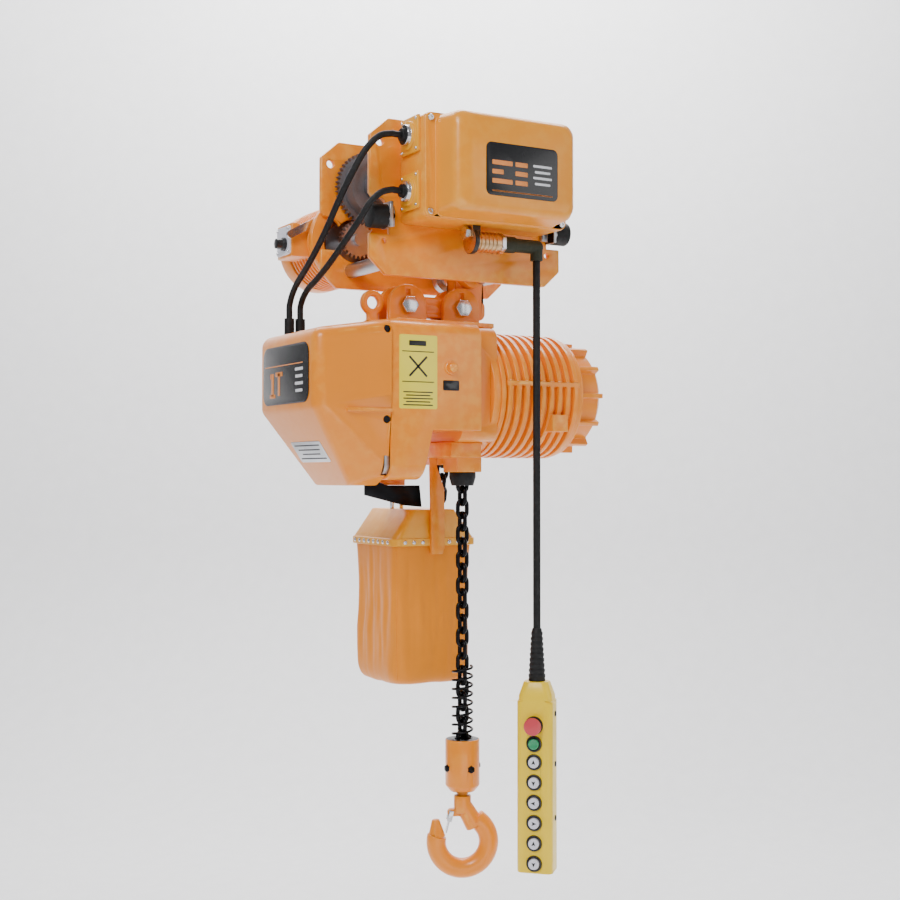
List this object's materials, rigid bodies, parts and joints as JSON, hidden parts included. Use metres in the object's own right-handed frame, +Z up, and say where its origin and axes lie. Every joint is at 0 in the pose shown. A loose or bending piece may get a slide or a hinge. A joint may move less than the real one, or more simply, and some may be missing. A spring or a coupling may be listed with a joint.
{
  "type": "electric chain hoist",
  "caption": "Electric chain hoist hung from a motorised beam trolley, with finned motor, chain bag, swivel hook and push-button pendant.",
  "frame": {"origin": "centre of the four wheels' contact with the top of the beam's lower flange", "axes": "+X along the beam towards the hoist motor's end, -Y towards the control box, +Z up"},
  "size_m": [0.5458, 0.492, 1.213],
  "materials": {
    "orange_paint": "gloss enamel",
    "steel": "machined",
    "cast_iron": "rolled tread",
    "rubber": "matt",
    "black_steel": "black oxide",
    "copper_winding": "varnished",
    "black_plastic": "moulded",
    "yellow_plastic": "moulded",
    "brass": "turned",
    "bag_fabric": "coated cloth",
    "red_plastic": "moulded",
    "green_plastic": "moulded",
    "white_plastic": "moulded"
  },
  "bodies": {
    "trolley": {"side_plate_near": "orange_paint", "side_plate_far": "orange_paint", "tie_bolts": "steel", "axle_pins": "steel", "load_shaft": "steel", "bumpers": "rubber", "control_box_base": "orange_paint", "control_box_cover": "orange_paint", "control_box_screws": "steel", "contactors": "black_plastic", "connector_plates": "yellow_plastic", "pendant_connector": "brass", "trolley_motor_case": "orange_paint", "trolley_motor_stator": "copper_winding"},
    "near_left_wheel": {"wheel_near_left": "cast_iron"},
    "near_right_wheel": {"wheel_near_right": "cast_iron"},
    "far_left_wheel": {"wheel_far_left": "cast_iron"},
    "far_right_wheel": {"wheel_far_right": "cast_iron"},
    "idler": {"idler_gear": "steel"},
    "drive_rotor": {"trolley_rotor": "steel"},
    "hoist": {"suspension_hanger": "orange_paint", "suspension_lugs": "orange_paint", "lug_bolts": "steel", "lifting_eye": "orange_paint", "gearbox_housing": "orange_paint", "gearbox_plate": "steel", "end_cover": "orange_paint", "cover_screws": "black_steel", "motor_frame": "orange_paint", "motor_end_bell": "orange_paint", "motor_stator": "copper_winding", "brake_coil": "copper_winding", "bearings": "steel", "chain_guide": "orange_paint", "chain_funnel": "rubber", "bag_hanger": "orange_paint", "bag_hood": "orange_paint", "chain_bag": "bag_fabric", "slack_chain": "black_steel", "power_cables": "rubber", "cable_glands": "rubber"},
    "lift_rotor": {"motor_rotor": "steel"},
    "intermediate": {"intermediate_gear": "steel"},
    "sheave": {"load_sheave": "steel"},
    "hook_run": {"load_chain": "black_steel", "buffer_spring": "black_steel", "hook_block": "orange_paint"},
    "hook_body": {"hook": "orange_paint"},
    "latch_body": {"hook_latch": "steel"},
    "pendant": {"pendant_case": "yellow_plastic", "pendant_boot": "rubber", "pendant_cord": "rubber"},
    "stop": {"stop_button": "red_plastic"},
    "start": {"start_button": "green_plastic"},
    "up": {"button_up": "white_plastic"},
    "down": {"button_down": "white_plastic"},
    "left": {"button_left": "white_plastic"},
    "right": {"button_right": "white_plastic"},
    "forward": {"button_forward": "white_plastic"},
    "back": {"button_back": "white_plastic"}
  },
  "joints": [
    {"name": "wheel_far_left_spin", "type": "hinge", "parent": "trolley", "child": "far_left_wheel", "pos_m": [-0.09, 0.06, 0.05], "axis": [0, 1, 0], "continuous": true},
    {"name": "wheel_far_right_spin", "type": "hinge", "parent": "trolley", "child": "far_right_wheel", "pos_m": [0.09, 0.06, 0.05], "axis": [0, 1, 0], "continuous": true},
    {"name": "idler_spin", "type": "hinge", "parent": "trolley", "child": "idler", "pos_m": [0, 0.078, 0.05], "axis": [0, 1, 0], "continuous": true},
    {"name": "trolley_rotor_spin", "type": "hinge", "parent": "trolley", "child": "drive_rotor", "pos_m": [-0.1133, 0.15, -0.0369], "axis": [0, 1, 0], "continuous": true},
    {"name": "wheel_near_left_spin", "type": "hinge", "parent": "trolley", "child": "near_left_wheel", "pos_m": [-0.09, -0.06, 0.05], "axis": [0, 1, 0], "continuous": true},
    {"name": "wheel_near_right_spin", "type": "hinge", "parent": "trolley", "child": "near_right_wheel", "pos_m": [0.09, -0.06, 0.05], "axis": [0, 1, 0], "continuous": true},
    {"name": "hoist_swing", "type": "hinge", "parent": "trolley", "child": "hoist", "pos_m": [0.05, 0, -0.092], "axis": [0, 1, 0], "range_deg": [-6, 6], "deforming": ["power_cables"]},
    {"name": "hook_lift", "type": "slide", "parent": "hoist", "child": "hook_run", "axis": [0, 0, 1], "range_m": [0, 0.21], "deforming": ["slack_chain"]},
    {"name": "sheave_turn", "type": "hinge", "parent": "hoist", "child": "sheave", "pos_m": [0.025, 0, -0.295], "axis": [1, 0, 0], "range_deg": [-360, 0]},
    {"name": "intermediate_turn", "type": "hinge", "parent": "hoist", "child": "intermediate", "pos_m": [-0.1, 0.0495, -0.3445], "axis": [1, 0, 0], "range_deg": [0, 1320]},
    {"name": "motor_turn", "type": "hinge", "parent": "hoist", "child": "lift_rotor", "pos_m": [0.14, 0, -0.295], "axis": [1, 0, 0], "range_deg": [-5280, 0]},
    {"name": "hook_swivel", "type": "hinge", "parent": "hook_run", "child": "hook_body", "pos_m": [0.025, -0.0342, -0.95], "axis": [0, 0, 1], "continuous": true},
    {"name": "latch_pivot", "type": "hinge", "parent": "hook_body", "child": "latch_body", "pos_m": [0.00778, -0.02617, -0.98], "axis": [0.4226, 0.9063, 0], "range_deg": [-36, 0], "stiffness_Nm_per_rad": 0.05},
    {"name": "pendant_swing", "type": "hinge", "parent": "trolley", "child": "pendant", "pos_m": [0.1015, -0.138, -0.084], "axis": [0, 1, 0], "range_deg": [-15, 15], "deforming": ["pendant_cord"]},
    {"name": "stop_press", "type": "slide", "parent": "pendant", "child": "stop", "axis": [0.7071, 0.7071, 0], "range_m": [0, 0.005], "stiffness_N_per_m": 400},
    {"name": "start_press", "type": "slide", "parent": "pendant", "child": "start", "axis": [0.7071, 0.7071, 0], "range_m": [0, 0.003], "stiffness_N_per_m": 250},
    {"name": "up_press", "type": "slide", "parent": "pendant", "child": "up", "axis": [0.7071, 0.7071, 0], "range_m": [0, 0.003], "stiffness_N_per_m": 250},
    {"name": "down_press", "type": "slide", "parent": "pendant", "child": "down", "axis": [0.7071, 0.7071, 0], "range_m": [0, 0.003], "stiffness_N_per_m": 250},
    {"name": "left_press", "type": "slide", "parent": "pendant", "child": "left", "axis": [0.7071, 0.7071, 0], "range_m": [0, 0.003], "stiffness_N_per_m": 250},
    {"name": "right_press", "type": "slide", "parent": "pendant", "child": "right", "axis": [0.7071, 0.7071, 0], "range_m": [0, 0.003], "stiffness_N_per_m": 250},
    {"name": "forward_press", "type": "slide", "parent": "pendant", "child": "forward", "axis": [0.7071, 0.7071, 0], "range_m": [0, 0.003], "stiffness_N_per_m": 250},
    {"name": "back_press", "type": "slide", "parent": "pendant", "child": "back", "axis": [0.7071, 0.7071, 0], "range_m": [0, 0.003], "stiffness_N_per_m": 250}
  ],
  "couplings": [
    {"joint": "wheel_far_right_spin", "follows": "wheel_far_left_spin", "ratio": 1},
    {"joint": "idler_spin", "follows": "wheel_far_left_spin", "ratio": -2},
    {"joint": "trolley_rotor_spin", "follows": "wheel_far_left_spin", "ratio": -2},
    {"joint": "sheave_turn", "follows": "hook_lift", "rad_per_m": -29.92},
    {"joint": "intermediate_turn", "follows": "hook_lift", "rad_per_m": 109.71},
    {"joint": "motor_turn", "follows": "hook_lift", "rad_per_m": -438.83}
  ]
}
